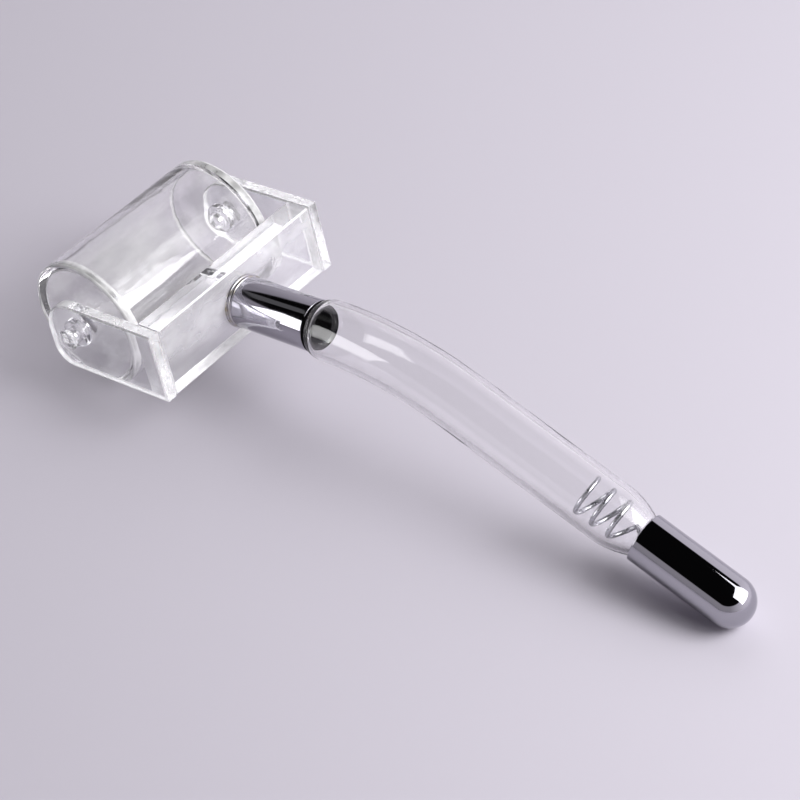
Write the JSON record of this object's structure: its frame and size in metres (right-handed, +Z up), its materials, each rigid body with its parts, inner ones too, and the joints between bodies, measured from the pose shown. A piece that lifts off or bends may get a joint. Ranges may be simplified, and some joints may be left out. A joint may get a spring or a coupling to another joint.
{
  "type": "glass roller electrode",
  "caption": "Clear roller in an acrylic yoke on a bent glass stem, with a chrome ferrule, a wire coil inside and a chrome plug cap.",
  "frame": {"origin": "middle of the box's bottom face, on the table that the roller and the cap rest on", "axes": "+X from the roller to the cap, +Y along the roller axis, +Z up"},
  "size_m": [0.181, 0.057, 0.0337],
  "materials": {
    "clear_acrylic": "polished clear",
    "roller_glass": "polished clear",
    "stem_glass": "fire polished clear",
    "chrome": "mirror plated",
    "brass": "tarnished",
    "dark_cement": "satin",
    "steel": "turned",
    "wire": "drawn wire",
    "cap_filler": "matte cement",
    "solder": "solder"
  },
  "bodies": {
    "stem": {"back_plate": "clear_acrylic", "side_plate_left": "clear_acrylic", "side_plate_right": "clear_acrylic", "axle_pin_left": "clear_acrylic", "axle_pin_right": "clear_acrylic", "ferrule": "chrome", "ferrule_base": "brass", "ferrule_cement": "dark_cement", "yoke_screw": "steel", "glass_tube": "stem_glass", "electrode_coil": "wire", "end_cap": "chrome", "cap_cement": "cap_filler", "cap_solder": "solder"},
    "roller": {"roller_shell": "roller_glass", "roller_end_left": "roller_glass", "roller_end_right": "roller_glass"}
  },
  "joints": [
    {"name": "roller_spin", "type": "hinge", "parent": "stem", "child": "roller", "pos_m": [-0.07446, 0, 0.016], "axis": [0, 1, 0], "continuous": true}
  ]
}
